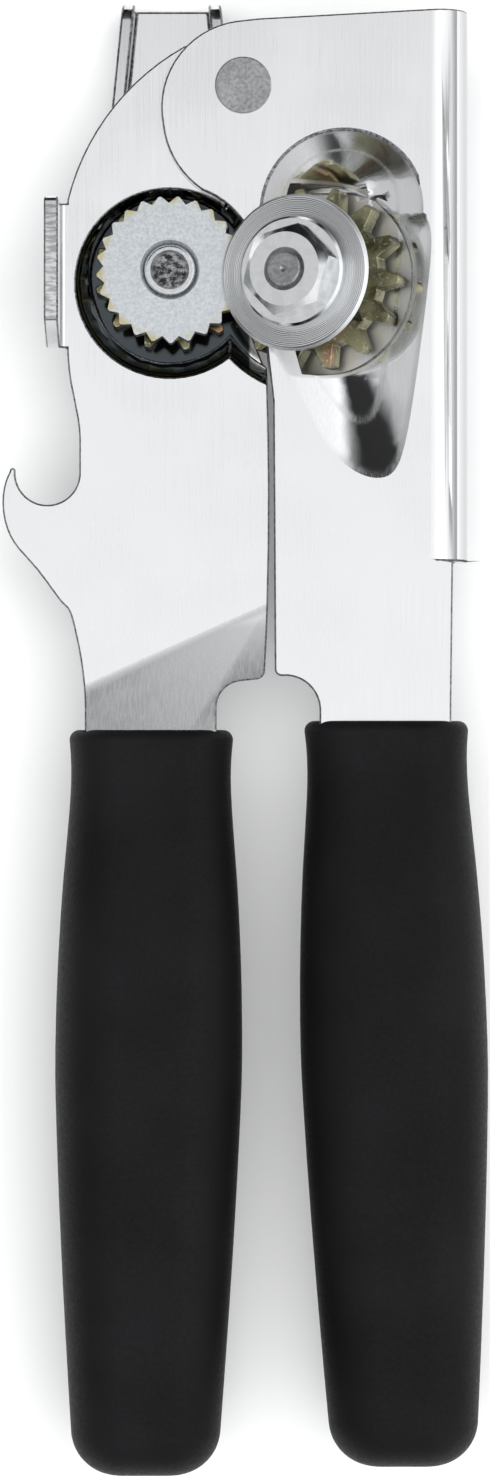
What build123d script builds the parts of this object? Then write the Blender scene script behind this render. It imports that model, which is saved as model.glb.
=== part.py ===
"""Hand can opener: two pivoted steel handles, a geared feed wheel and cutter, and a turning key.

Millimetres. The opener lies on its back: +Z points out of the working side, +Y towards the pivot
end, and the origin is at the middle of its footprint, at the level of the turning key's back.
"""
import os
from math import cos, hypot, pi, radians, sin, sqrt, tan

from build123d import *

os.makedirs("parts", exist_ok=True)

# ---------------------------------------------------------------- driving dimensions
SHEET = 1.7                      # handle sheet thickness
PLATE_GAP = 0.1                  # running gap between the two handle plates
LEFT_FRONT = 18.2                # level of the left plate's front face
LEFT_BACK = LEFT_FRONT - SHEET
RIGHT_BACK = LEFT_FRONT + PLATE_GAP
RIGHT_FRONT = RIGHT_BACK + SHEET

PIVOT = (-0.2, 77.9)             # handle pivot
FEED = (-9.05, 55.75)            # feed wheel axis, parallel to Z
CUTTER = (5.86, 54.97)           # middle of the cutter's front face
CUTTER_FRONT = LEFT_FRONT + 5.45
CUTTER_TILT = 22.5               # lean of the cutter axis towards the feed wheel
LEAN_TURN = 3.0                  # the lean points this far above -X

PIVOT_PIN_R = 2.6
SHAFT_R = 3.1
STUD_R = 2.6
RUNNING_FIT = 0.05               # radial clearance of a turning fit

FEED_TEETH = 25
FEED_TIP_R = 8.85
FEED_NOTCH = 0.8
FEED_FRONT = LEFT_FRONT + 1.15
FEED_THICK = 2.6

DRIVE_TEETH = 12
DRIVE_TIP_R = 9.35
DRIVE_ROOT_R = 6.7
DRIVE_BACK = LEFT_FRONT - 7.3
DRIVE_THICK = 3.1

TOOTH_FOOT = 2.7                 # width of a gear tooth at its foot

CUTTER_TEETH = 14
CUTTER_GEAR_TIP_R = 11.1
CUTTER_GEAR_ROOT_R = 8.6
CUTTER_GEAR_DEPTH = 6.0          # from the cutter's front face to the gear's front face
CUTTER_GEAR_THICK = 2.8
CUTTER_R = 9.4
HUB_R = 4.4
CUTTER_THICK = 1.8
SEAT_DEPTH = 9.9                 # from the cutter's front face to the cut seat round the gear
SEAT_BACK = 11.8                 # and to the rear of the pocket's floor

BUSH_R = 4.4

RECESS_FLOOR = LEFT_FRONT - 7.6  # floor of the cup that holds the drive gear
RECESS_R = 9.9
RECESS_LIP = 2.0                 # radius of the rolled lip round the cup's mouth
LIP_CENTRE = (-9.05, 54.25)      # the lip is deepest below the feed wheel
LIP_INNER_R = 9.4
GEAR_RECESS = (8.3, 54.8)
GEAR_RECESS_R = 11.9

TANG_BACK = 11.0                 # rear edge of the channel-shaped tangs
TANG_END = -68.0
CHANNEL_TOP = -2.0               # the tangs are channels below this, flat above it

CRANK_SHEET = 1.6
CRANK_DEPTH = 8.1
CRANK_HALF = 34.35
CRANK_END_HALF = 6.1
CRANK_FLARE = 0.1                # half width gained per millimetre towards the shaft
CRANK_BOSS = 6.0                 # the key's sides run parallel this far either side of the shaft
CRANK_BEND_R = 2.0
CRANK_CORNER_R = 2.2

FEED_X, FEED_Y = FEED
PIVOT_X, PIVOT_Y = PIVOT

tilt = radians(CUTTER_TILT)
turn = radians(LEAN_TURN)
axis_dir = Vector(-sin(tilt) * cos(turn), sin(tilt) * sin(turn), cos(tilt))
slope_dir = Vector(cos(tilt) * cos(turn), -cos(tilt) * sin(turn), sin(tilt))
cutter_face = Vector(CUTTER[0], CUTTER[1], CUTTER_FRONT)


def cutter_plane(depth=0.0):
    """Plane square to the cutter axis, `depth` behind the cutter's front face."""
    return Plane(origin=cutter_face - axis_dir * depth, x_dir=slope_dir, z_dir=axis_dir)


def feed_plane(level):
    """Plane square to the feed axis at the given height."""
    return Plane(origin=(FEED_X, FEED_Y, level))


# ---------------------------------------------------------------- left handle plate
CREASE = (-10.7, 9.3)            # a point on the oblique bend above the left tang
CREASE_TURN = radians(24.0)
RAMP = 11.4                      # length of the sloping strip below the bend
BEND_R = 3.0
ACROSS = 110.0
TANG_RIGHT = -3.4
TANG_LEFT = -19.35
TANG_END_LEFT = -18.0            # the tang narrows to these edges at its end
TANG_END_RIGHT = -6.0
PIVOT_LOBE_R = 7.4
TAB_X = -24.0                    # outer face of the stop tab
TAB_TOP = 63.9
TAB_LOW = 46.4
TAB_TIP = LEFT_FRONT + 6.8
TAB_BEND_R = 2.3

down_ramp = (sin(CREASE_TURN), -cos(CREASE_TURN), 0)
along_crease = (-cos(CREASE_TURN), -sin(CREASE_TURN), 0)
crease_plane = Plane(origin=(CREASE[0], CREASE[1], 0), x_dir=down_ramp, z_dir=along_crease)

with BuildSketch() as recess:
    with Locations(FEED):
        Circle(RECESS_R)
    with Locations(LIP_CENTRE):
        Circle(LIP_INNER_R)
    with Locations(GEAR_RECESS):
        Circle(GEAR_RECESS_R)

with BuildSketch(Plane.XY) as left_outline:
    with BuildLine():
        lobe = CenterArc(PIVOT, PIVOT_LOBE_R, -85, 203)
        shoulder = Line(lobe @ 1, (-7.4, 82.9))
        ThreePointArc(shoulder @ 1, (-15.8, 75.8), (-21.5, 64.3))
        Line((-21.5, 64.3), (-21.5, 45.6))
        Spline((-21.5, 45.6), (-21.1, 42.0), (-20.2, 37.4), (-20.05, 31.6),
               tangents=[(0.05, -1), (0, -1)])
        ThreePointArc((-20.05, 31.6), (-23.9, 27.45), (-27.75, 31.5))
        ThreePointArc((-27.75, 31.5), (-28.1, 31.9), (-28.45, 31.5))
        Spline((-28.45, 31.5), (-29.35, 28.0), (-28.2, 23.2), (-25.2, 19.6), (-22.1, 15.5),
               (-20.2, 10.4), tangents=[(-0.5, -0.9), (0.2, -1)])
        ThreePointArc((-20.2, 10.4), (-19.6, 6.5), (TANG_LEFT, 2.0))
        Polyline((TANG_LEFT, 2.0), (TANG_LEFT, CHANNEL_TOP), (TANG_END_LEFT, TANG_END),
                 (TANG_END_RIGHT, TANG_END), (TANG_RIGHT, CHANNEL_TOP), (TANG_RIGHT, 3.0))
        ThreePointArc((TANG_RIGHT, 3.0), (-2.45, 5.2), (-0.3, 6.1))
        Line((-0.3, 6.1), (1.5, 6.3))
        ThreePointArc((1.5, 6.3), (2.2, 6.7), (2.45, 7.5))
        Line((2.45, 7.5), (2.7, 12.0))
        Spline((2.7, 12.0), (3.0, 30.0), (2.7, 44.0))
        Polyline((2.7, 44.0), (0.4, 50.0), (0.4, 68.0), lobe @ 0)
    make_face()

with BuildSketch(Plane.XY) as left_trim:
    add(left_outline.sketch)
    with Locations((TAB_X + 2, (TAB_TOP + TAB_LOW) / 2)):
        Rectangle(6, TAB_TOP - TAB_LOW)

with BuildPart() as left_frame:
    # the sheet, stepped forwards across the oblique bend
    with BuildSketch(crease_plane):
        with BuildLine():
            lower = FilletPolyline((-ACROSS, LEFT_BACK), (0, LEFT_BACK), (RAMP, RIGHT_BACK),
                                   (ACROSS, RIGHT_BACK), radius=BEND_R)
            upper = FilletPolyline((-ACROSS, LEFT_FRONT), (0, LEFT_FRONT), (RAMP, RIGHT_FRONT),
                                   (ACROSS, RIGHT_FRONT), radius=BEND_R)
            Line(lower @ 0, upper @ 0)
            Line(lower @ 1, upper @ 1)
        make_face()
    extrude(amount=ACROSS, both=True)
    # its outline, tang included
    extrude(left_outline.sketch, amount=40, mode=Mode.INTERSECT)
    # channel sides of the tang
    with BuildSketch(Plane.XY.offset(TANG_BACK)) as left_channel:
        with BuildLine():
            Polyline((TANG_LEFT, CHANNEL_TOP), (TANG_END_LEFT, TANG_END), (TANG_END_RIGHT, TANG_END),
                     (TANG_RIGHT, CHANNEL_TOP), close=True)
        make_face()
    extrude(amount=RIGHT_FRONT - TANG_BACK)
    with BuildSketch(Plane.XY.offset(TANG_BACK)):
        with BuildLine():
            Polyline((TANG_LEFT + SHEET, -1.0), (TANG_END_LEFT + SHEET, TANG_END + SHEET),
                     (TANG_END_RIGHT - SHEET, TANG_END + SHEET), (TANG_RIGHT - SHEET, -1.0), close=True)
        make_face()
    extrude(amount=RIGHT_BACK - TANG_BACK, mode=Mode.SUBTRACT)
    # stop tab, bent up from the left edge
    with BuildSketch(Plane.XZ.offset(-TAB_TOP)):
        with BuildLine():
            outside = FilletPolyline((-20.5, LEFT_BACK), (TAB_X, LEFT_BACK), (TAB_X, TAB_TIP),
                                     radius=TAB_BEND_R)
            inside = FilletPolyline((-20.5, LEFT_FRONT), (TAB_X + SHEET, LEFT_FRONT),
                                    (TAB_X + SHEET, TAB_TIP), radius=TAB_BEND_R - SHEET)
            Line(outside @ 0, inside @ 0)
            Line(outside @ 1, inside @ 1)
        make_face()
    extrude(amount=TAB_TOP - TAB_LOW)
    with BuildSketch(Plane.YZ.offset(TAB_X - 1)):
        with BuildLine():
            Polyline((TAB_LOW - 1, LEFT_FRONT + 0.8), (TAB_LOW, LEFT_FRONT + 0.8),
                     (TAB_LOW + 2.8, TAB_TIP + 0.1), (TAB_LOW - 1, TAB_TIP + 0.1), close=True)
        make_face()
    extrude(amount=SHEET + 2, mode=Mode.SUBTRACT)
    fillet(edges().filter_by(Axis.X).group_by(Axis.Z)[-1], 0.6)
    # drawn cup round the drive gear, open towards the other handle
    with BuildSketch(Plane.XY.offset(RECESS_FLOOR - SHEET)):
        offset(recess.sketch, SHEET - 0.2)
    extrude(amount=LEFT_FRONT - RECESS_FLOOR)
    extrude(left_trim.sketch, amount=40, mode=Mode.INTERSECT)
    with BuildSketch(Plane.XY.offset(RECESS_FLOOR)):
        add(recess.sketch)
    extrude(amount=20, mode=Mode.SUBTRACT)
    for centre, radius in ((LIP_CENTRE, LIP_INNER_R), (GEAR_RECESS, GEAR_RECESS_R)):
        with BuildSketch(Plane(origin=(centre[0], centre[1], LEFT_FRONT), x_dir=(1, 0, 0),
                               z_dir=(0, -1, 0))):
            with BuildLine():
                rim = Polyline((radius, -RECESS_LIP), (radius, 1), (radius + RECESS_LIP, 1),
                               (radius + RECESS_LIP, 0))
                RadiusArc(rim @ 1, rim @ 0, RECESS_LIP)
            make_face()
        revolve(axis=Axis((centre[0], centre[1], 0), (0, 0, 1)), mode=Mode.SUBTRACT)
    # holes for the pivot pin and the shaft bush
    with BuildSketch(Plane.XY):
        with Locations(PIVOT):
            Circle(PIVOT_PIN_R)
        with Locations(FEED):
            Circle(BUSH_R)
    extrude(amount=LEFT_FRONT + 1, mode=Mode.SUBTRACT)
left_frame.part.label = "left_frame"
export_step(left_frame.part, "parts/left_frame.step")

# ---------------------------------------------------------------- right handle plate
FLANGE_X = 27.1                  # outer face of the stiffening flange
FLANGE_R = 4.7
FLANGE_LOW = 20.6
FLANGE_BACK = 11.5
RIGHT_TANG_LEFT = 9.0
RIGHT_TANG_RIGHT = 24.9
RIGHT_END_LEFT = 12.8
RIGHT_END_RIGHT = 24.8
POCKET_TOP = (12.1, 62.4)        # middle of the round end of the cutter pocket
POCKET_TOP_R = 10.1
POCKET_SHEET = 1.4               # the drawn pocket is a little thinner than the plate
POCKET_BLEND = 1.6
POCKET_LEFT = 1.4                # the drawn part stops here, clear of the other handle's cup
POCKET_REACH = 20.0
SEAT_R = CUTTER_GEAR_TIP_R + 0.5
SEAT_WALL = 1.1
FLOOR_DROP = 0.3                 # the pocket's floor lies this far below the seat
SEAT_CUP_HEIGHT = 9.0
HUB_ROOM = 3.0                   # height of the clearance cut round the cutter's hub


def smooth_max(first, second, blend=POCKET_BLEND):
    """The larger of two heights, rounded over where they meet."""
    return (first + second + sqrt((first - second) ** 2 + blend ** 2)) / 2


def pocket_height(x, y):
    """Height of the drawn pocket's inner surface, above the plate's front outside its outline."""
    seat = cutter_face - axis_dir * (SEAT_DEPTH + FLOOR_DROP)
    floor = seat.Z + tan(tilt) * ((x - seat.X) * cos(turn) - (y - seat.Y) * sin(turn))
    above = y - POCKET_TOP[1]
    reach = hypot(x - POCKET_TOP[0], max(above, 0)) - POCKET_TOP_R + 1.2 * min(above, 0)
    top_wall = RIGHT_FRONT + 0.85 * reach
    lower_side = RIGHT_FRONT - 0.65 * ((x - 6.6) * 0.9 + (y - 38.0) * 0.42)
    lower_end = RIGHT_FRONT + 0.34 * (27.6 - y)
    right_side = RIGHT_FRONT + 0.5 * ((x - 22.5) * 0.99 - (y - 56.0) * 0.13)
    bowl = smooth_max(smooth_max(lower_side, lower_end, 2 * POCKET_BLEND), right_side)
    return smooth_max(smooth_max(floor, bowl, 0.6), top_wall, 1.6) - 0.2


pocket_x = [-3.0 + 29.0 * i / 58 for i in range(59)]
pocket_y = [24.0 + 52.0 * i / 104 for i in range(105)]
pocket_face = Face.make_surface_from_array_of_points(
    [[Vector(x, y, pocket_height(x, y)) for y in pocket_y] for x in pocket_x], tol=0.01)

with BuildSketch() as right_outline:
    with BuildLine():
        top = Polyline((FLANGE_X + 1, 87.45), (1.7, 86.0), (-1.0, 85.7))
        ThreePointArc(top @ 1, (-8.4, 81.0), (-9.9, 73.2))
        ThreePointArc((-9.9, 73.2), (-8.4, 68.7), (-5.2, 65.3))
        notch = ThreePointArc((-5.2, 65.3), (-1.3, 62.8), (1.5, 56.5))
        Polyline(notch @ 1, (3.4, 40.0), (3.6, 7.6))
        ThreePointArc((3.6, 7.6), (3.85, 6.95), (4.5, 6.7))
        ThreePointArc((4.5, 6.7), (7.7, 5.6), (RIGHT_TANG_LEFT, 2.4))
        Polyline((RIGHT_TANG_LEFT, 2.4), (RIGHT_TANG_LEFT, CHANNEL_TOP), (RIGHT_END_LEFT, TANG_END),
                 (RIGHT_END_RIGHT, TANG_END), (RIGHT_TANG_RIGHT, CHANNEL_TOP), (RIGHT_TANG_RIGHT, 3.0),
                 (RIGHT_TANG_RIGHT + 0.2, FLANGE_LOW - 0.6), (FLANGE_X + 1, FLANGE_LOW),
                 (FLANGE_X + 1, 87.45))
    make_face()

with BuildSketch() as pocket_zone:
    add(right_outline.sketch)
    with Locations((POCKET_LEFT + 30, 50)):
        Rectangle(60, 100, mode=Mode.INTERSECT)

# outer skin of the drawn pocket: its walls and floor, and the round cup under the gear's seat
with BuildPart() as pocket_shell:
    extrude(pocket_face.moved(Location((0, 0, -POCKET_SHEET))), amount=POCKET_REACH, dir=(0, 0, 1))
    with BuildSketch(cutter_plane(SEAT_BACK)):
        Circle(SEAT_R + SEAT_WALL)
    extrude(amount=SEAT_CUP_HEIGHT)
    extrude(pocket_zone.sketch, amount=RIGHT_FRONT - 0.3, mode=Mode.INTERSECT)

with BuildPart() as right_frame:
    with BuildSketch(Plane.XZ.offset(-90)):
        with BuildLine():
            front = FilletPolyline((-20, RIGHT_FRONT), (FLANGE_X, RIGHT_FRONT), (FLANGE_X, FLANGE_BACK),
                                   radius=FLANGE_R)
            back = FilletPolyline((-20, RIGHT_BACK), (FLANGE_X - SHEET, RIGHT_BACK),
                                  (FLANGE_X - SHEET, FLANGE_BACK), radius=FLANGE_R - SHEET)
            Line(front @ 0, back @ 0)
            Line(front @ 1, back @ 1)
        make_face()
    extrude(amount=90 - FLANGE_LOW)
    with BuildSketch(Plane.XY.offset(RIGHT_BACK)):
        with Locations((0, FLANGE_LOW - 50)):
            Rectangle(2 * RIGHT_TANG_RIGHT + 0.4, 100)
    extrude(amount=SHEET)
    extrude(right_outline.sketch, amount=40, mode=Mode.INTERSECT)
    # channel sides of the tang
    with BuildSketch(Plane.XY.offset(TANG_BACK)) as right_channel:
        with BuildLine():
            Polyline((RIGHT_TANG_LEFT, CHANNEL_TOP), (RIGHT_END_LEFT, TANG_END),
                     (RIGHT_END_RIGHT, TANG_END), (RIGHT_TANG_RIGHT, CHANNEL_TOP), close=True)
        make_face()
    extrude(amount=RIGHT_FRONT - TANG_BACK)
    with BuildSketch(Plane.XY.offset(TANG_BACK)):
        with BuildLine():
            Polyline((RIGHT_TANG_LEFT + SHEET, -1.0), (RIGHT_END_LEFT + SHEET, TANG_END + SHEET),
                     (RIGHT_END_RIGHT - SHEET, TANG_END + SHEET), (RIGHT_TANG_RIGHT - SHEET, -1.0),
                     close=True)
        make_face()
    extrude(amount=RIGHT_BACK - TANG_BACK, mode=Mode.SUBTRACT)
    # drawn pocket behind the cutter gear
    add(pocket_shell.part)
    extrude(pocket_face, amount=POCKET_REACH, dir=(0, 0, 1), mode=Mode.SUBTRACT)
    with BuildSketch(cutter_plane(SEAT_DEPTH)):
        Circle(SEAT_R)
    extrude(amount=SEAT_DEPTH - CUTTER_GEAR_DEPTH + 0.9, mode=Mode.SUBTRACT)
    # room for the cutter's hub
    with BuildSketch(cutter_plane(CUTTER_GEAR_DEPTH)):
        Circle(HUB_R + 0.4)
    extrude(amount=HUB_ROOM, mode=Mode.SUBTRACT)
    with BuildSketch(cutter_plane(SEAT_DEPTH + 6)):
        Circle(STUD_R)
    extrude(amount=8, mode=Mode.SUBTRACT)
    with BuildSketch(Plane.XY):
        with Locations(PIVOT):
            Circle(PIVOT_PIN_R + RUNNING_FIT)
    extrude(amount=RIGHT_FRONT + 1, mode=Mode.SUBTRACT)
right_frame.part.label = "right_frame"
export_step(right_frame.part, "parts/right_frame.step")

# ---------------------------------------------------------------- grips
GRIP_MIDDLE = 15.5               # height of the grips' centre line
GRIP_LENGTH = 90.3
GRIP_SECTIONS = 16
GRIP_WAIST = 19.3
GRIP_BELLY = 22.7
GRIP_BELLY_AT = 40.5             # distance from the mouth to the widest place
GRIP_END_WIDTH = 17.4
GRIP_END_R = 5.6
LEFT_MOUTH = 0.2
RIGHT_MOUTH = 1.3


def grip_size(below):
    """Width and thickness of a grip at a distance below its mouth."""
    if below < GRIP_BELLY_AT:
        rise = sin(pi / 2 * below / GRIP_BELLY_AT) ** 2
        swell = 3.4 * max(below - 8, 0) / (GRIP_BELLY_AT - 8)
        width = GRIP_WAIST + swell * (2 - swell / 3.4) + 0.9 * 2.718 ** (-(below / 4) ** 2)
        return min(width, GRIP_BELLY), 12.7 + 4.3 * rise
    fall = (below - GRIP_BELLY_AT) / (GRIP_LENGTH - GRIP_BELLY_AT)
    return GRIP_BELLY - (GRIP_BELLY - GRIP_END_WIDTH) * fall ** 1.35, 17.0 - 2.6 * fall ** 1.5


def grip_planes(mouth, middle, drift):
    """Section planes down one grip, with each section's size."""
    for i in range(GRIP_SECTIONS):
        below = GRIP_LENGTH * i / (GRIP_SECTIONS - 1)
        centre = (middle + drift * below, mouth - below, GRIP_MIDDLE)
        yield Plane(origin=centre, x_dir=(1, 0, 0), z_dir=(0, -1, 0)), *grip_size(below)


with BuildPart() as left_grip:
    for plane, width, thick in grip_planes(LEFT_MOUTH, -11.35, -0.008):
        with BuildSketch(plane):
            RectangleRounded(width, thick, thick * 0.44)
    loft()
    fillet(faces().sort_by(Axis.Y)[0].edges(), GRIP_END_R)
    fillet(faces().sort_by(Axis.Y)[-1].edges(), 1.2)
    extrude(left_channel.sketch, amount=RIGHT_FRONT - TANG_BACK, mode=Mode.SUBTRACT)
    # slot for the sheet between the channel and the mouth
    with BuildSketch(Plane.XZ.offset(-2)):
        with Locations(((TANG_LEFT + TANG_RIGHT) / 2, (RIGHT_FRONT + LEFT_BACK) / 2)):
            Rectangle(TANG_RIGHT - TANG_LEFT, RIGHT_FRONT - LEFT_BACK)
    extrude(amount=2 - CHANNEL_TOP + 0.1, mode=Mode.SUBTRACT)
left_grip.part.label = "left_grip"
export_step(left_grip.part, "parts/left_grip.step")

with BuildPart() as right_grip:
    for plane, width, thick in grip_planes(RIGHT_MOUTH, 17.15, 0.0245):
        with BuildSketch(plane):
            RectangleRounded(width, thick, thick * 0.44)
    loft()
    fillet(faces().sort_by(Axis.Y)[0].edges(), GRIP_END_R)
    fillet(faces().sort_by(Axis.Y)[-1].edges(), 1.2)
    extrude(right_channel.sketch, amount=RIGHT_FRONT - TANG_BACK, mode=Mode.SUBTRACT)
    with BuildSketch(Plane.XZ.offset(-3)):
        with Locations(((RIGHT_TANG_LEFT + RIGHT_TANG_RIGHT) / 2, (RIGHT_FRONT + RIGHT_BACK) / 2)):
            Rectangle(RIGHT_TANG_RIGHT - RIGHT_TANG_LEFT, SHEET)
    extrude(amount=3 - CHANNEL_TOP + 0.1, mode=Mode.SUBTRACT)
right_grip.part.label = "right_grip"
export_step(right_grip.part, "parts/right_grip.step")

# ---------------------------------------------------------------- pivot
PIVOT_HEAD_R = 3.4
PIVOT_REAR_R = 4.1
PIVOT_REAR = 1.6
PIVOT_REAR_ROUND = 1.1
WASHER_R = 5.6
WASHER_THICK = 0.7

with BuildPart() as pivot_rivet:
    with BuildSketch(Plane(origin=(PIVOT_X, PIVOT_Y, RIGHT_FRONT + RUNNING_FIT))):
        Circle(PIVOT_HEAD_R)
    extrude(amount=0.3)
    fillet(edges().group_by(Axis.Z)[-1], 0.15)
    with BuildSketch(Plane(origin=(PIVOT_X, PIVOT_Y, LEFT_BACK - WASHER_THICK))):
        Circle(PIVOT_PIN_R)
    extrude(amount=RIGHT_FRONT + 0.2 - LEFT_BACK + WASHER_THICK)
    with BuildSketch(Plane(origin=(PIVOT_X, PIVOT_Y, LEFT_BACK - WASHER_THICK))):
        Circle(PIVOT_REAR_R)
    extrude(amount=-PIVOT_REAR)
    fillet(edges().group_by(Axis.Z)[0], PIVOT_REAR_ROUND)
pivot_rivet.part.label = "pivot_rivet"
export_step(pivot_rivet.part, "parts/pivot_rivet.step")

with BuildPart() as pivot_washer:
    with BuildSketch(Plane(origin=(PIVOT_X, PIVOT_Y, LEFT_BACK - WASHER_THICK))):
        Circle(WASHER_R)
        Circle(PIVOT_PIN_R, mode=Mode.SUBTRACT)
    extrude(amount=WASHER_THICK)
    chamfer(edges().group_by(Axis.Z)[0], 0.15)
pivot_washer.part.label = "pivot_washer"
export_step(pivot_washer.part, "parts/pivot_washer.step")

# ---------------------------------------------------------------- feed shaft and its train
BUSH_FLANGE_R = 6.0
BUSH_FLANGE = 0.25
BUSH_BACK = RECESS_FLOOR - SHEET - 0.15
CRANK_WASHER_R = 6.4
CRANK_WASHER_THICK = 0.4
COLLAR_R = 5.2
SPACER_R = 5.2
SHAFT_SET_BACK = 0.25            # the shaft's end lies this far behind the feed wheel's face
CRATER_R = 2.35                  # shallow crater where the shaft's end is staked
CRATER = 0.35

with BuildPart() as drive_shaft:
    with BuildSketch(feed_plane(0)):
        Circle(SHAFT_R)
    extrude(amount=FEED_FRONT - SHAFT_SET_BACK)
    fillet(edges().group_by(Axis.Z)[-1], 0.35)
    with BuildSketch(feed_plane(FEED_FRONT - SHAFT_SET_BACK)):
        Circle(CRATER_R)
    extrude(amount=-CRATER, taper=20, mode=Mode.SUBTRACT)
drive_shaft.part.label = "drive_shaft"
export_step(drive_shaft.part, "parts/drive_shaft.step")

with BuildPart() as shaft_bush:
    with BuildSketch(feed_plane(BUSH_BACK)):
        Circle(BUSH_R)
    extrude(amount=RECESS_FLOOR - BUSH_BACK)
    with BuildSketch(feed_plane(RECESS_FLOOR)):
        Circle(BUSH_FLANGE_R)
    extrude(amount=BUSH_FLANGE)
    with BuildSketch(feed_plane(BUSH_BACK)):
        Circle(SHAFT_R + RUNNING_FIT)
    extrude(amount=5, mode=Mode.SUBTRACT)
shaft_bush.part.label = "shaft_bush"
export_step(shaft_bush.part, "parts/shaft_bush.step")

with BuildPart() as crank_washer:
    with BuildSketch(feed_plane(BUSH_BACK - CRANK_WASHER_THICK - 0.05)):
        Circle(CRANK_WASHER_R)
        Circle(SHAFT_R, mode=Mode.SUBTRACT)
    extrude(amount=CRANK_WASHER_THICK)
crank_washer.part.label = "crank_washer"
export_step(crank_washer.part, "parts/crank_washer.step")

with BuildPart() as crank_collar:
    with BuildSketch(feed_plane(CRANK_SHEET)):
        Circle(COLLAR_R)
        Circle(SHAFT_R, mode=Mode.SUBTRACT)
    extrude(amount=BUSH_BACK - CRANK_WASHER_THICK - 0.05 - CRANK_SHEET)
    chamfer(edges().filter_by(GeomType.CIRCLE).filter_by(lambda e: e.radius > SHAFT_R + 1), 0.4)
crank_collar.part.label = "crank_collar"
export_step(crank_collar.part, "parts/crank_collar.step")


def crank_half(y):
    """Half width of the turning key at a distance from the shaft."""
    return CRANK_END_HALF + CRANK_FLARE * (CRANK_HALF - abs(y))


with BuildPart() as crank_key:
    with BuildSketch(feed_plane(0)):
        with BuildLine():
            outer_end = crank_half(CRANK_HALF)
            outer_mid = crank_half(CRANK_BOSS)
            Polyline((-outer_end, CRANK_HALF), (-outer_mid, CRANK_BOSS), (-outer_mid, -CRANK_BOSS),
                     (-outer_end, -CRANK_HALF), (outer_end, -CRANK_HALF), (outer_mid, -CRANK_BOSS),
                     (outer_mid, CRANK_BOSS), (outer_end, CRANK_HALF), close=True)
        make_face()
    extrude(amount=CRANK_DEPTH)
    bends = edges().group_by(Axis.Z)[0].filter_by(lambda e: abs(e.tangent_at(0.5).Y) > 0.5)
    fillet(bends, CRANK_BEND_R)
    with BuildSketch(feed_plane(CRANK_SHEET)):
        with BuildLine():
            past_end = CRANK_HALF + 2
            inner_end = crank_half(past_end) - CRANK_SHEET
            inner_mid = crank_half(CRANK_BOSS) - CRANK_SHEET
            Polyline((-inner_end, past_end), (-inner_mid, CRANK_BOSS), (-inner_mid, -CRANK_BOSS),
                     (-inner_end, -past_end), (inner_end, -past_end), (inner_mid, -CRANK_BOSS),
                     (inner_mid, CRANK_BOSS), (inner_end, past_end), close=True)
        make_face()
    extrude(amount=CRANK_DEPTH, mode=Mode.SUBTRACT)
    corners = edges().group_by(Axis.Z)[-1].filter_by(Axis.X)
    fillet(corners, CRANK_CORNER_R)
    with BuildSketch(feed_plane(0)):
        Circle(SHAFT_R)
    extrude(amount=CRANK_SHEET, mode=Mode.SUBTRACT)
crank_key.part.label = "crank_key"
export_step(crank_key.part, "parts/crank_key.step")

with BuildPart() as drive_gear:
    with BuildSketch(feed_plane(DRIVE_BACK)):
        Circle(DRIVE_ROOT_R)
        depth = DRIVE_TIP_R - DRIVE_ROOT_R + 0.5
        with PolarLocations(DRIVE_TIP_R - depth / 2, DRIVE_TEETH, 180 / DRIVE_TEETH - LEAN_TURN):
            Trapezoid(TOOTH_FOOT, depth, 73, rotation=-90)
        tips = vertices().filter_by(lambda v: hypot(v.X, v.Y) > DRIVE_TIP_R - 0.2)
        fillet(tips, 0.35)
        Circle(SHAFT_R, mode=Mode.SUBTRACT)
    extrude(amount=DRIVE_THICK)
drive_gear.part.label = "drive_gear"
export_step(drive_gear.part, "parts/drive_gear.step")

with BuildPart() as feed_wheel_spacer:
    with BuildSketch(feed_plane(DRIVE_BACK + DRIVE_THICK)):
        Circle(SPACER_R)
        Circle(SHAFT_R, mode=Mode.SUBTRACT)
    extrude(amount=FEED_FRONT - FEED_THICK - DRIVE_BACK - DRIVE_THICK)
feed_wheel_spacer.part.label = "feed_wheel_spacer"
export_step(feed_wheel_spacer.part, "parts/feed_wheel_spacer.step")

FEED_START = 83.5                # direction of one tooth tip
FEED_LAND = 1.0                  # half angle of the narrow flat on each tip

with BuildPart() as feed_wheel:
    with BuildSketch(feed_plane(FEED_FRONT - FEED_THICK)):
        with BuildLine():
            rim = []
            for tooth in range(FEED_TEETH):
                middle = FEED_START + 360 / FEED_TEETH * tooth
                for radius, angle in ((FEED_TIP_R, -FEED_LAND), (FEED_TIP_R, FEED_LAND),
                                      (FEED_TIP_R - FEED_NOTCH, 180 / FEED_TEETH)):
                    bearing = radians(middle + angle)
                    rim.append((radius * cos(bearing), radius * sin(bearing)))
            Polyline(*rim, close=True)
        make_face()
        Circle(SHAFT_R, mode=Mode.SUBTRACT)
    extrude(amount=FEED_THICK)
    mouth = edges().group_by(Axis.Z)[-1].filter_by(GeomType.CIRCLE)
    chamfer(mouth, 0.9, 0.5)
feed_wheel.part.label = "feed_wheel"
export_step(feed_wheel.part, "parts/feed_wheel.step")

# ---------------------------------------------------------------- cutter and its train
HUB_BOSS_R = 3.6
STUD_END_R = 2.1
NUT_FLANGE_R = 6.6
NUT_FLANGE = 1.1
NUT_TOP = 3.1
NUT_FLATS = 9.8
THRUST_WASHER = 1.0
THRUST_WASHER_R = 6.2
STUD_HEAD_R = 3.8
STUD_HEAD = 1.1

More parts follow.
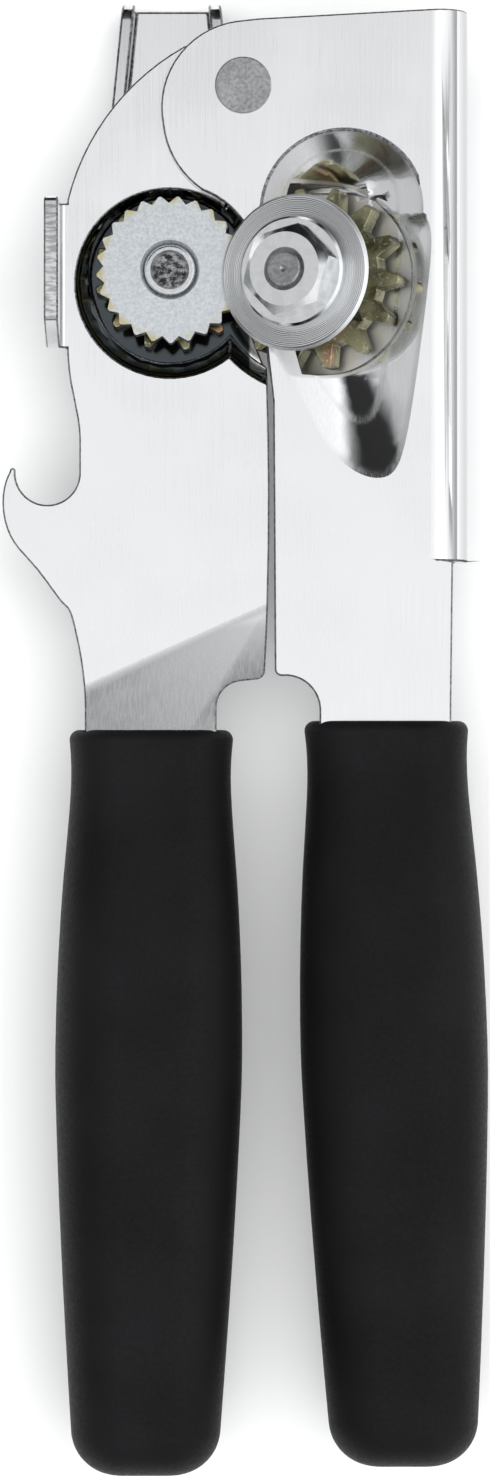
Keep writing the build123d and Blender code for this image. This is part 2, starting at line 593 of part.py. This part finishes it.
with BuildPart() as cutter_gear:
    with BuildSketch(cutter_plane(CUTTER_GEAR_DEPTH + CUTTER_GEAR_THICK)):
        Circle(CUTTER_GEAR_ROOT_R)
        depth = CUTTER_GEAR_TIP_R - CUTTER_GEAR_ROOT_R + 0.5
        with PolarLocations(CUTTER_GEAR_TIP_R - depth / 2, CUTTER_TEETH, 180):
            Trapezoid(TOOTH_FOOT, depth, 75, rotation=-90)
        tips = vertices().filter_by(lambda v: hypot(v.X, v.Y) > CUTTER_GEAR_TIP_R - 0.2)
        fillet(tips, 0.5)
        Circle(HUB_BOSS_R, mode=Mode.SUBTRACT)
    extrude(amount=CUTTER_GEAR_THICK)
cutter_gear.part.label = "cutter_gear"
export_step(cutter_gear.part, "parts/cutter_gear.step")

with BuildPart() as cutter_hub:
    with BuildSketch(cutter_plane(CUTTER_GEAR_DEPTH)):
        Circle(HUB_R)
    extrude(amount=CUTTER_GEAR_DEPTH - CUTTER_THICK)
    with BuildSketch(cutter_plane(CUTTER_GEAR_DEPTH + CUTTER_GEAR_THICK)):
        Circle(HUB_BOSS_R)
    extrude(amount=CUTTER_GEAR_DEPTH + CUTTER_GEAR_THICK)
    with BuildSketch(cutter_plane(CUTTER_GEAR_DEPTH + CUTTER_GEAR_THICK)):
        Circle(STUD_R + RUNNING_FIT)
    extrude(amount=CUTTER_GEAR_DEPTH + CUTTER_GEAR_THICK, mode=Mode.SUBTRACT)
cutter_hub.part.label = "cutter_hub"
export_step(cutter_hub.part, "parts/cutter_hub.step")

cutter_side = Plane(origin=cutter_face, x_dir=slope_dir, z_dir=slope_dir.cross(axis_dir))
cutter_axis = Axis(cutter_face, axis_dir)

with BuildPart() as cutter_wheel:
    with BuildSketch(cutter_side):
        with BuildLine():
            Polyline((HUB_BOSS_R, 0), (CUTTER_R - 0.35, 0), (CUTTER_R, -0.3), (CUTTER_R, -0.45),
                     (HUB_R + 1.0, -CUTTER_THICK), (HUB_BOSS_R, -CUTTER_THICK), close=True)
        make_face()
    revolve(axis=cutter_axis)
cutter_wheel.part.label = "cutter_wheel"
export_step(cutter_wheel.part, "parts/cutter_wheel.step")

with BuildPart() as cutter_nut:
    with BuildSketch(cutter_plane(-RUNNING_FIT)):
        Circle(NUT_FLANGE_R)
    extrude(amount=NUT_FLANGE)
    chamfer(edges().filter_by(GeomType.CIRCLE).sort_by(Axis.Z)[-1], 0.3)
    with BuildSketch(cutter_plane(-RUNNING_FIT - NUT_FLANGE)):
        RegularPolygon(NUT_FLATS / 2, 6, major_radius=False, rotation=17)
    extrude(amount=NUT_TOP - NUT_FLANGE)
    with BuildSketch(cutter_side):
        with BuildLine():
            Polyline((NUT_FLATS / 2 - 0.5, NUT_TOP + RUNNING_FIT + 0.01), (NUT_FLATS / 2 - 0.5, 9),
                     (9, 9), (9, NUT_TOP - 2.2), close=True)
        make_face()
    revolve(axis=cutter_axis, mode=Mode.SUBTRACT)
    with BuildSketch(cutter_plane(-RUNNING_FIT)):
        Circle(STUD_END_R)
    extrude(amount=NUT_TOP + 1, mode=Mode.SUBTRACT)
    top_bore = edges().filter_by(GeomType.CIRCLE).filter_by(lambda e: e.radius < STUD_END_R + 0.1)
    chamfer(top_bore.sort_by(Axis.Z)[-1], 0.5)
cutter_nut.part.label = "cutter_nut"
export_step(cutter_nut.part, "parts/cutter_nut.step")

with BuildPart() as cutter_stud:
    with BuildSketch(cutter_plane(SEAT_BACK + 0.1)):
        Circle(STUD_R)
    extrude(amount=SEAT_BACK + 0.1 + RUNNING_FIT)
    with BuildSketch(cutter_plane(0)):
        Circle(STUD_END_R)
    extrude(amount=NUT_TOP + 0.35)
    fillet(edges().filter_by(GeomType.CIRCLE).sort_by(Axis.Z)[-1], 0.25)
    with BuildSketch(cutter_side):
        with BuildLine():
            Polyline((0, NUT_TOP + 0.36), (0.45, NUT_TOP + 0.36), (0, NUT_TOP), close=True)
        make_face()
    revolve(axis=cutter_axis, mode=Mode.SUBTRACT)
    with BuildSketch(cutter_plane(SEAT_BACK)):
        Circle(STUD_HEAD_R)
    extrude(amount=-STUD_HEAD)
    fillet(edges().filter_by(GeomType.CIRCLE).sort_by(Axis.Z)[0], 0.7)
cutter_stud.part.label = "cutter_stud"
export_step(cutter_stud.part, "parts/cutter_stud.step")

with BuildPart() as gear_thrust_washer:
    with BuildSketch(cutter_plane(SEAT_DEPTH)):
        Circle(THRUST_WASHER_R)
        Circle(STUD_R, mode=Mode.SUBTRACT)
    extrude(amount=THRUST_WASHER)
gear_thrust_washer.part.label = "gear_thrust_washer"
export_step(gear_thrust_washer.part, "parts/gear_thrust_washer.step")
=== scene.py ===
"""Hand can opener: materials, floor, soft studio light and the camera, round the fixed CAD frame.

Metres, in the CAD model's frame: +Z out of the working side, +Y towards the pivot end.
"""
from math import cos, pi, radians, sin

import bpy
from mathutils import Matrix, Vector

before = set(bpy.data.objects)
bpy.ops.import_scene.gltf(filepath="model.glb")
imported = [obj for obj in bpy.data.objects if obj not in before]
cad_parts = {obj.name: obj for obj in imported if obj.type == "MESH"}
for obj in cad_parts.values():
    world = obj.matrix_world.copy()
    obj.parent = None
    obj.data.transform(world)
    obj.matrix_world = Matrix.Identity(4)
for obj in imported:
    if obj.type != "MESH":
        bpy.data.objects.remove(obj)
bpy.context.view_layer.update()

MM = 0.001
PLATE_FRONT = 18.2 * MM          # front face of the left plate
PLATE_STEP = 1.8 * MM            # the right plate and both tangs stand this much further forward
POCKET_EDGE = 19.93 * MM         # the drawn pocket lies below this level
STRIP_TOP = 12.0 * MM            # the sloping strip above the left grip lies below this Y
FEED_AXIS = (-9.05 * MM, 55.75 * MM, 18.2 * MM)
CUTTER_POINT = (5.86 * MM, 54.97 * MM, 23.65 * MM)
CUTTER_TILT = radians(22.5)
LEAN_TURN = radians(3.0)
CUTTER_AXIS = (-sin(CUTTER_TILT) * cos(LEAN_TURN), sin(CUTTER_TILT) * sin(LEAN_TURN), cos(CUTTER_TILT))
UP = (0.0, 0.0, 1.0)
TAB_END = 24.95 * MM             # level of the stop tab's cut end
TAB_INNER = -21.8 * MM           # X of the tab's inner face
GEAR_AXIS = (8.3 * MM, 54.8 * MM, 18.2 * MM)
CUP_SHADE_COLOUR = (0.06, 0.07, 0.076)  # painted shade: near-black colour standing in for the shadow down in the left handle's drawn cup
FLANGE_SHADE_COLOUR = (0.5, 0.5, 0.51)  # painted shade: darker grey down the outer side of the stiffening flange, which turns away from the light


# ---------------------------------------------------------------- node helpers
def new_material(name):
    """An empty metal or plastic material and its shader."""
    material = bpy.data.materials.new(name)
    material.use_nodes = True
    return material, material.node_tree.nodes["Principled BSDF"]


def add_node(material, kind, **settings):
    """A new node with its own settings."""
    node = material.node_tree.nodes.new(kind)
    for name, value in settings.items():
        setattr(node, name, value)
    return node


def put(material, socket, value):
    """Feeds a socket from another node's output, or sets it to a plain value."""
    if isinstance(value, bpy.types.NodeSocket):
        material.node_tree.links.new(value, socket)
    else:
        socket.default_value = value


def place(material):
    """Position on the object, in metres."""
    return add_node(material, "ShaderNodeTexCoord").outputs["Object"]


def axes(material):
    """X, Y and Z on the object, in metres."""
    node = add_node(material, "ShaderNodeSeparateXYZ")
    put(material, node.inputs[0], place(material))
    return node.outputs["X"], node.outputs["Y"], node.outputs["Z"]


def vector_math(material, operation, first, second=None):
    """Result of one vector operation."""
    node = add_node(material, "ShaderNodeVectorMath", operation=operation)
    put(material, node.inputs[0], first)
    if second is not None:
        put(material, node.inputs[1], second)
    return node.outputs["Value"] if operation in ("LENGTH", "DOT_PRODUCT") else node.outputs["Vector"]


def maths(material, operation, first, second=0.0):
    """Result of one operation on numbers."""
    node = add_node(material, "ShaderNodeMath", operation=operation)
    put(material, node.inputs[0], first)
    put(material, node.inputs[1], second)
    return node.outputs["Value"]


def times(material, first, second):
    """Product of two values."""
    return maths(material, "MULTIPLY", first, second)


def larger(material, first, second):
    """The larger of two values."""
    return maths(material, "MAXIMUM", first, second)


def noise(material, scale, stretch=(1, 1, 1), detail=2.0, roughness=0.5):
    """Noise with features 1/scale metres across, divided by `stretch` along each axis."""
    spread = vector_math(material, "MULTIPLY", place(material), stretch)
    node = add_node(material, "ShaderNodeTexNoise")
    put(material, node.inputs["Vector"], spread)
    put(material, node.inputs["Scale"], scale)
    put(material, node.inputs["Detail"], detail)
    put(material, node.inputs["Roughness"], roughness)
    return node.outputs["Fac"]


def band(material, value, low, high, to_low=0.0, to_high=1.0):
    """Maps low..high to to_low..to_high, held at both ends."""
    node = add_node(material, "ShaderNodeMapRange", interpolation_type="SMOOTHSTEP")
    for name, number in (("From Min", low), ("From Max", high), ("To Min", to_low), ("To Max", to_high)):
        node.inputs[name].default_value = number
    put(material, node.inputs["Value"], value)
    return node.outputs["Result"]


def mix(material, factor, first, second):
    """Colour between two colours."""
    node = add_node(material, "ShaderNodeMix", data_type="RGBA")
    put(material, node.inputs["Factor"], factor)
    for socket, value in ((node.inputs[6], first), (node.inputs[7], second)):
        put(material, socket, value if isinstance(value, bpy.types.NodeSocket) else (*value, 1.0))
    return node.outputs[2]


def bump(material, height, depth, strength):
    """A surface normal from a height pattern `depth` metres deep."""
    node = add_node(material, "ShaderNodeBump")
    put(material, node.inputs["Height"], height)
    node.inputs["Distance"].default_value = depth
    node.inputs["Strength"].default_value = strength
    return node.outputs["Normal"]


def off_axis(material, point, direction):
    """Distance from an axis."""
    offset = vector_math(material, "SUBTRACT", place(material), point)
    return vector_math(material, "LENGTH", vector_math(material, "CROSS_PRODUCT", offset, direction))


def metal(name, colour, roughness, slot_name):
    """A bare metal material with plain settings, which the functions below add detail to."""
    material, shader = new_material(name)
    shader.inputs["Metallic"].default_value = 1.0
    put(material, shader.inputs["Roughness"], roughness)
    shader.inputs["Base Color"].default_value = (*colour, 1.0)
    material["slot"] = slot_name
    return material, shader


# ---------------------------------------------------------------- metals
BRUSH_ALONG_Y = (1.0, 0.02, 1.0)


def brushed_zone(material):
    """1 on the plates' flat fronts and on the strip above the left grip, 0 down in the pocket."""
    _, y, z = axes(material)
    front = band(material, z, POCKET_EDGE - 0.35 * MM, POCKET_EDGE)
    low_front = times(material, band(material, z, PLATE_FRONT - 0.3 * MM, PLATE_FRONT - 0.05 * MM),
                      band(material, z, PLATE_FRONT + 0.02 * MM, PLATE_FRONT + 0.2 * MM, 1.0, 0.0))
    strip = band(material, y, STRIP_TOP, STRIP_TOP + 2.0 * MM, 1.0, 0.0)
    return larger(material, larger(material, front, low_front), strip)


def cup_shade_zone(material):
    """1 on the lip and the floor of the left plate's drawn cup, where the painted shade goes."""
    x, _, z = axes(material)
    from_feed = off_axis(material, FEED_AXIS, UP)
    from_gear = off_axis(material, GEAR_AXIS, UP)
    at_lip = larger(material, band(material, from_feed, 12.9 * MM, 13.4 * MM, 1.0, 0.0),
                    band(material, from_gear, 13.8 * MM, 14.4 * MM, 1.0, 0.0))
    inside = larger(material, band(material, from_feed, 11.1 * MM, 11.2 * MM, 1.0, 0.0),
                    band(material, from_gear, 12.6 * MM, 12.7 * MM, 1.0, 0.0))
    sunk = band(material, z, PLATE_FRONT - 1.6 * MM, PLATE_FRONT - 0.6 * MM, 1.0, 0.0)
    deep = band(material, z, PLATE_FRONT - 2.2 * MM, PLATE_FRONT - 2.1 * MM, 1.0, 0.0)
    cup = maths(material, "ADD", times(material, inside, deep),
                times(material, at_lip, maths(material, "SUBTRACT", sunk, deep)))
    return times(material, cup, band(material, x, 0.4 * MM, 0.8 * MM, 1.0, 0.0))


def tab_end_zone(material):
    """1 on the cut end of the stop tab."""
    x, _, z = axes(material)
    return times(material, band(material, z, TAB_END - 0.1 * MM, TAB_END),
                 band(material, x, TAB_INNER, TAB_INNER - 0.1 * MM))


def plate_metal():
    """Bright nickel plate over fine brushing, mirror-like down in the drawn pocket."""
    material, shader = metal("nickel_plate", (0.86, 0.865, 0.87), 0.2, "plate_steel")
    lines = noise(material, 5200, BRUSH_ALONG_Y, detail=3)
    clouds = noise(material, 90)
    brushed = brushed_zone(material)
    # roughness: brushed fronts, a satin seat round the cutter's gear, the rest polished
    rough = maths(material, "ADD", band(material, lines, 0.3, 0.7, 0.19, 0.28),
                  band(material, clouds, 0.3, 0.7, -0.02, 0.03))
    from_cutter = off_axis(material, CUTTER_POINT, CUTTER_AXIS)
    seat = band(material, from_cutter, 11.9 * MM, 12.4 * MM, 0.42, 0.08)
    polished = times(material, maths(material, "SUBTRACT", 1.0, brushed), seat)
    put(material, shader.inputs["Roughness"],
        maths(material, "ADD", times(material, rough, brushed), polished))
    # colour: bright plate, painted shade down the flange's outer side and in the cup, streaked on the
    # tab's cut end
    tone = mix(material, band(material, lines, 0.25, 0.75), (0.83, 0.835, 0.845), (0.88, 0.885, 0.89))
    # painted shade on the flange's outer side, past X = 25.2 mm
    flange = band(material, axes(material)[0], 25.2 * MM, 27.0 * MM)
    tone = mix(material, flange, tone, FLANGE_SHADE_COLOUR)
    cut_lines = noise(material, 2400, (0.25, 1.0, 1.0), detail=3)
    torn = mix(material, band(material, cut_lines, 0.4, 0.6), (0.40, 0.40, 0.41), (0.70, 0.70, 0.71))
    # the cup's near-black colour is painted shade
    put(material, shader.inputs["Base Color"],
        mix(material, tab_end_zone(material), mix(material, cup_shade_zone(material), tone, CUP_SHADE_COLOUR), torn))
    put(material, shader.inputs["Normal"],
        bump(material, times(material, lines, brushed), 0.004 * MM, 0.4))
    return material


def sheared_edge_and_shade():
    """Dull darker steel at the sheets' cut and rolled edges, with painted dark reflection that draws the
    rounded edges as dark outlines; bright at the gear's seat.
    """
    material, shader = metal("sheared_edge_and_shade", (0.2, 0.2, 0.21), 0.34, "plate_steel")
    streaks = noise(material, 3200, (1.0, 1.0, 0.1), detail=3)
    # painted dark reflection over the dull cut steel: near-black to mid grey
    dull = mix(material, band(material, streaks, 0.35, 0.65), (0.10, 0.10, 0.105), (0.34, 0.34, 0.35))
    from_cutter = off_axis(material, CUTTER_POINT, CUTTER_AXIS)
    near_gear = band(material, from_cutter, 12.1 * MM, 12.3 * MM, 1.0, 0.0)
    seat = times(material, near_gear, band(material, axes(material)[0], 6.5 * MM, 7.0 * MM))
    put(material, shader.inputs["Base Color"], mix(material, seat, dull, (0.84, 0.845, 0.85)))
    put(material, shader.inputs["Roughness"], band(material, streaks, 0.3, 0.7, 0.26, 0.44))
    return material


def key_metal():
    """Bright nickel plate on the turning key, with long faint press lines."""
    material, shader = metal("key_plate", (0.82, 0.825, 0.83), 0.16, "key_steel")
    lines = noise(material, 2600, BRUSH_ALONG_Y, detail=4)
    put(material, shader.inputs["Roughness"], band(material, lines, 0.3, 0.7, 0.10, 0.26))
    put(material, shader.inputs["Base Color"],
        mix(material, band(material, lines, 0.3, 0.7), (0.66, 0.67, 0.68), (0.88, 0.885, 0.89)))
    put(material, shader.inputs["Normal"], bump(material, lines, 0.01 * MM, 0.5))
    return material


def dull_metal(name, slot_name, colour):
    """Zinc-plated steel with a fine dull grain."""
    material, shader = metal(name, colour, 0.45, slot_name)
    speckle = noise(material, 2200, detail=4, roughness=0.65)
    stain = noise(material, 260, detail=3)
    light = tuple(min(1.0, 1.25 * part) for part in colour)
    dark = tuple(0.75 * part for part in colour)
    put(material, shader.inputs["Base Color"],
        mix(material, band(material, speckle, 0.3, 0.7), dark, light))
    put(material, shader.inputs["Roughness"], band(material, stain, 0.3, 0.7, 0.38, 0.58))
    put(material, shader.inputs["Normal"], bump(material, speckle, 0.02 * MM, 0.5))
    return material


def shaft_metal():
    """Plain steel, torn and rough where the end of the shaft is staked over."""
    material, shader = metal("shaft_steel", (0.62, 0.63, 0.64), 0.3, "shaft_steel")
    away = off_axis(material, FEED_AXIS, UP)
    crater = band(material, away, 1.9 * MM, 2.4 * MM, 1.0, 0.0)
    torn = noise(material, 900, (1.0, 1.3, 0.4), detail=5, roughness=0.7)
    fine = noise(material, 3000, detail=3)
    put(material, shader.inputs["Base Color"],
        mix(material, times(material, band(material, torn, 0.42, 0.6, 1.0, 0.0), crater),
            (0.68, 0.69, 0.70), (0.06, 0.06, 0.065)))
    put(material, shader.inputs["Roughness"], band(material, fine, 0.3, 0.7, 0.2, 0.4))
    put(material, shader.inputs["Normal"], bump(material, times(material, torn, crater), 0.6 * MM, 1.0))
    return material


def feed_metal():
    """Pale blue-white zinc with a granular face and a yellow tint in some of the notches."""
    material, shader = metal("feed_zinc", (0.72, 0.76, 0.80), 0.35, "feed_zinc")
    grain = noise(material, 2600, detail=4, roughness=0.7)
    patches = noise(material, 420)
    away = off_axis(material, FEED_AXIS, UP)
    toothed = band(material, away, 7.6 * MM, 8.5 * MM)
    face = mix(material, band(material, grain, 0.3, 0.7), (0.56, 0.60, 0.63), (0.88, 0.905, 0.925))
    tint = times(material, toothed, band(material, patches, 0.45, 0.6))
    put(material, shader.inputs["Base Color"], mix(material, tint, face, (0.66, 0.60, 0.36)))
    put(material, shader.inputs["Roughness"], band(material, grain, 0.3, 0.7, 0.28, 0.46))
    put(material, shader.inputs["Normal"], bump(material, grain, 0.03 * MM, 0.6))
    return material


def gear_metal():
    """Yellow-olive chromate with a warm tint in a few patches."""
    material, shader = metal("gear_chromate", (0.5, 0.46, 0.3), 0.3, "gear_chromate")
    patches = noise(material, 330, detail=3)
    drift = noise(material, 150)
    grain = noise(material, 2400, detail=3)
    olive = mix(material, band(material, patches, 0.35, 0.6), (0.16, 0.15, 0.08), (0.44, 0.41, 0.25))
    warm = mix(material, band(material, drift, 0.58, 0.70), olive, (0.52, 0.31, 0.19))
    put(material, shader.inputs["Base Color"],
        mix(material, band(material, grain, 0.55, 0.8), warm, (0.86, 0.84, 0.70)))
    put(material, shader.inputs["Roughness"], band(material, patches, 0.3, 0.7, 0.22, 0.42))
    put(material, shader.inputs["Normal"], bump(material, grain, 0.02 * MM, 0.5))
    return material


FINE_RING = 0.22 * MM
WIDE_RING = 1.3 * MM


def turned_metal():
    """Hardened steel turned on a lathe: fine and wide rings about the cutter's axis."""
    material, shader = metal("cutter_steel", (0.74, 0.75, 0.76), 0.25, "cutter_steel")
    away = off_axis(material, CUTTER_POINT, CUTTER_AXIS)
    turns = times(material, away, 2 * pi / FINE_RING)
    ring = maths(material, "SINE", maths(material, "ADD", turns, noise(material, 500)))
    wide = maths(material, "SINE", times(material, away, 2 * pi / WIDE_RING))
    rim = band(material, away, 8.85 * MM, 9.15 * MM)
    face = mix(material, band(material, ring, -1, 1), (0.58, 0.59, 0.60), (0.80, 0.81, 0.82))
    put(material, shader.inputs["Base Color"], mix(material, rim, face, (0.90, 0.91, 0.92)))
    put(material, shader.inputs["Roughness"], band(material, wide, -1, 1, 0.24, 0.34))
    put(material, shader.inputs["Normal"], bump(material, ring, 0.012 * MM, 0.7))
    return material


def nut_metal():
    """Bright plating on the hexagon nut, with small dents."""
    material, shader = metal("nut_plate", (0.80, 0.81, 0.82), 0.15, "nut_steel")
    dents = noise(material, 700, detail=3)
    put(material, shader.inputs["Roughness"], band(material, dents, 0.3, 0.7, 0.10, 0.24))
    put(material, shader.inputs["Base Color"],
        mix(material, band(material, dents, 0.35, 0.65), (0.72, 0.73, 0.74), (0.86, 0.87, 0.88)))
    put(material, shader.inputs["Normal"], bump(material, dents, 0.03 * MM, 0.35))
    return material


# ---------------------------------------------------------------- grips and floor
def grip_plastic():
    """Matte black soft plastic with a fine moulded grain."""
    material, shader = new_material("grip_black")
    grain = noise(material, 2300, detail=3, roughness=0.6)
    haze = noise(material, 60)
    put(material, shader.inputs["Base Color"],
        mix(material, band(material, haze, 0.3, 0.7), (0.004, 0.004, 0.0045), (0.007, 0.007, 0.0078)))
    put(material, shader.inputs["Roughness"], band(material, grain, 0.3, 0.7, 0.50, 0.66))
    put(material, shader.inputs["Normal"], bump(material, grain, 0.03 * MM, 0.3))
    shader.inputs["Specular IOR Level"].default_value = 0.16
    shader.inputs["Sheen Weight"].default_value = 0.015
    shader.inputs["Sheen Roughness"].default_value = 0.4
    material["slot"] = "grip_black"
    return material


def floor_paint():
    """Plain pale floor."""
    material, shader = new_material("floor_pale")
    shader.inputs["Base Color"].default_value = (0.93, 0.93, 0.93, 1.0)
    shader.inputs["Roughness"].default_value = 0.9
    shader.inputs["Specular IOR Level"].default_value = 0.1
    return material


# ---------------------------------------------------------------- materials on the frame's nodes
gears = gear_metal()
cutter_steel = turned_metal()
plates = plate_metal()
grips = grip_plastic()
rivets = dull_metal("rivet_steel", "rivet_steel", (0.46, 0.465, 0.47))
bushes = dull_metal("bush_steel", "bush_steel", (0.55, 0.56, 0.57))
shafts = shaft_metal()
worn_by = {
    "left_frame": plates, "right_frame": plates, "left_grip": grips, "right_grip": grips,
    "pivot_rivet": rivets, "pivot_washer": rivets, "cutter_stud": rivets,
    "drive_shaft": shafts, "crank_collar": shafts, "shaft_bush": bushes, "crank_washer": bushes,
    "gear_thrust_washer": bushes, "crank_key": key_metal(), "drive_gear": gears,
    "feed_wheel_spacer": gears, "cutter_gear": gears, "feed_wheel": feed_metal(),
    "cutter_hub": cutter_steel, "cutter_wheel": cutter_steel, "cutter_nut": nut_metal()}

for node, material in worn_by.items():
    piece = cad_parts[node]
    piece.data.materials.clear()
    piece.data.materials.append(material)

# ---------------------------------------------------------------- rolled and broken edges
EDGE_RADIUS = {
    "left_frame": 0.22 * MM, "right_frame": 0.22 * MM, "crank_key": 0.3 * MM, "cutter_gear": 0.14 * MM,
    "drive_gear": 0.14 * MM}
SHEARED = ("left_frame", "right_frame", "crank_key")    # folded sheet, with dull cut edges; their rounded edges carry painted dark reflection
CREASE = radians(32)             # faces that turn by more than this meet in a crease
LEVEL_CREASE = radians(3)        # and by more than this along the edge of a plate's flat front
CORNER = radians(35)             # edges that turn by more than this are rounded
FLAT = radians(0.4)              # faces that turn by less than this are one face
FRONT_LEVELS = (PLATE_FRONT, PLATE_FRONT + PLATE_STEP)
LEVEL_SLACK = 0.003 * MM
JOIN_GAP = 0.001 * MM
# the rounded edges' material: dull cut steel darkened with painted dark reflection, drawn as dark
# outlines
edge_steel = sheared_edge_and_shade()


def joined_faces():
    """Modifier group: joins the faces along their edges, shaded smooth up to the sharp edges."""
    group = bpy.data.node_groups.new("joined_faces", "GeometryNodeTree")
    group.interface.new_socket("Geometry", in_out="INPUT", socket_type="NodeSocketGeometry")
    group.interface.new_socket("Geometry", in_out="OUTPUT", socket_type="NodeSocketGeometry")
    nodes, links = group.nodes, group.links

    def compare(operation, value, limit, slack=0.0):
        """True where a value is above the limit, or equal to it within the slack."""
        node = nodes.new("FunctionNodeCompare")
        node.operation = operation
        links.new(value, node.inputs["A"])
        node.inputs["B"].default_value = limit
        if operation == "EQUAL":
            node.inputs["Epsilon"].default_value = slack
        return node.outputs["Result"]

    def join(operation, first, second):
        """Two conditions joined by AND or OR."""
        node = nodes.new("FunctionNodeBooleanMath")
        node.operation = operation
        links.new(first, node.inputs[0])
        links.new(second, node.inputs[1])
        return node.outputs[0]

    merge = nodes.new("GeometryNodeMergeByDistance")
    merge.inputs["Distance"].default_value = JOIN_GAP
    angle = nodes.new("GeometryNodeInputMeshEdgeAngle").outputs["Unsigned Angle"]
    place_of = nodes.new("ShaderNodeSeparateXYZ")
    links.new(nodes.new("GeometryNodeInputPosition").outputs[0], place_of.inputs[0])
    height = place_of.outputs["Z"]
    lower, upper = (compare("EQUAL", height, level, LEVEL_SLACK) for level in FRONT_LEVELS)
    on_level = join("AND", join("OR", lower, upper), compare("GREATER_THAN", angle, LEVEL_CREASE))
    shade = nodes.new("GeometryNodeSetMeshNormal")
    shade.mode = "SHARPNESS"
    shade.inputs["Remove Custom"].default_value = True
    links.new(nodes.new("NodeGroupInput").outputs[0], merge.inputs["Geometry"])
    links.new(merge.outputs["Geometry"], shade.inputs["Mesh"])
    sharp = join("OR", compare("GREATER_THAN", angle, CREASE), on_level)
    links.new(sharp, shade.inputs["Edge Sharpness"])
    links.new(shade.outputs["Mesh"], nodes.new("NodeGroupOutput").inputs[0])
    return group


faces_joined = joined_faces()

for node, radius in EDGE_RADIUS.items():
    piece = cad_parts[node]
    piece.modifiers.new("joining", "NODES").node_group = faces_joined
    flattening = piece.modifiers.new("flattening", "DECIMATE")
    flattening.decimate_type = "DISSOLVE"
    flattening.angle_limit = FLAT
    piece.modifiers.new("shading", "NODES").node_group = faces_joined
    rounding = piece.modifiers.new("rounding", "BEVEL")
    rounding.width = radius
    rounding.segments = 3
    rounding.limit_method = "ANGLE"
    rounding.angle_limit = CORNER
    rounding.use_clamp_overlap = node not in SHEARED
    rounding.harden_normals = True
    if node in SHEARED:
        # the rounded edges take the dark edge material, which is painted dark reflection
        piece.data.materials.append(edge_steel)
        rounding.material = 1

# ---------------------------------------------------------------- floor
FLOOR_HALF = 1.5
FLOOR_DROP = 0.2 * MM            # the floor lies this far under the key's back
floor_mesh = bpy.data.meshes.new("floor")
floor_mesh.from_pydata([(-FLOOR_HALF, -FLOOR_HALF, 0), (FLOOR_HALF, -FLOOR_HALF, 0),
                        (FLOOR_HALF, FLOOR_HALF, 0), (-FLOOR_HALF, FLOOR_HALF, 0)], [], [(0, 1, 2, 3)])
floor_object = bpy.data.objects.new("floor", floor_mesh)
floor_object.location.z = -FLOOR_DROP
floor_mesh.materials.append(floor_paint())
bpy.context.collection.objects.link(floor_object)

# ---------------------------------------------------------------- light
SUN_STRENGTH = 2.2
SUN_SPREAD = radians(60)


def studio_world():
    """Soft studio: bright overhead, a grey panel on the right, dark towards +Y, -Y and the horizon."""
    world = bpy.data.worlds.new("studio")
    world.use_nodes = True
    world.color = (1, 1, 1)
    nodes = world.node_tree.nodes
    towards = nodes.new("ShaderNodeTexCoord").outputs["Generated"]
    ground = nodes["Background"]
    level = nodes.new("ShaderNodeSeparateXYZ")
    put(world, level.inputs[0], towards)
    x, y, z = level.outputs
    overhead = band(world, z, cos(radians(55)), cos(radians(22)), 0.62, 1.05)
    horizon = band(world, z, cos(radians(85)), cos(radians(60)), 0.10, 1.0)
    shade_up = band(world, y, sin(radians(11.5)), sin(radians(18)), 0.0, 0.97)
    ahead = maths(world, "SUBTRACT", x, times(world, y, 0.75))
    shade_up = times(world, shade_up, band(world, ahead, -0.1, 0.1, 1.0, 0.0))
    shade_down = band(world, y, -sin(radians(48)), -sin(radians(72)), 0.0, 0.9)
    light = overhead
    open_up = maths(world, "SUBTRACT", 1.0, shade_up)
    open_down = maths(world, "SUBTRACT", 1.0, shade_down)
    for part in (horizon, open_up, open_down):
        light = times(world, light, part)
    side_panel = band(world, x, sin(radians(10)), sin(radians(30)), 0.0, 0.5)
    panel_top = band(world, z, cos(radians(70)), cos(radians(45)), 0.8, 1.0)
    light = maths(world, "ADD", light, times(world, side_panel, panel_top))
    put(world, ground.inputs["Strength"], light)
    ground.inputs["Color"].default_value = (0.98, 0.99, 1.0, 1.0)
    return world


bpy.context.scene.world = studio_world()
sun = bpy.data.lights.new("soft_sun", "SUN")
sun.energy = SUN_STRENGTH
sun.angle = SUN_SPREAD
sun_object = bpy.data.objects.new("soft_sun", sun)
sun_object.visible_glossy = False
bpy.context.collection.objects.link(sun_object)

# ---------------------------------------------------------------- camera
CAMERA_PLACE = Vector((0.02 * MM, -0.77 * MM, 502.2 * MM))
SENSOR_WIDTH = 36                # millimetres, as is the lens
LENS = 97.6
camera = bpy.data.cameras.new("camera")
camera.sensor_width = SENSOR_WIDTH
camera.sensor_fit = "AUTO"
camera.lens = LENS
camera.clip_start = 0.01
camera_object = bpy.data.objects.new("camera", camera)
camera_object.location = CAMERA_PLACE
bpy.context.collection.objects.link(camera_object)
bpy.context.scene.camera = camera_object
bpy.context.scene.view_settings.view_transform = "Standard"
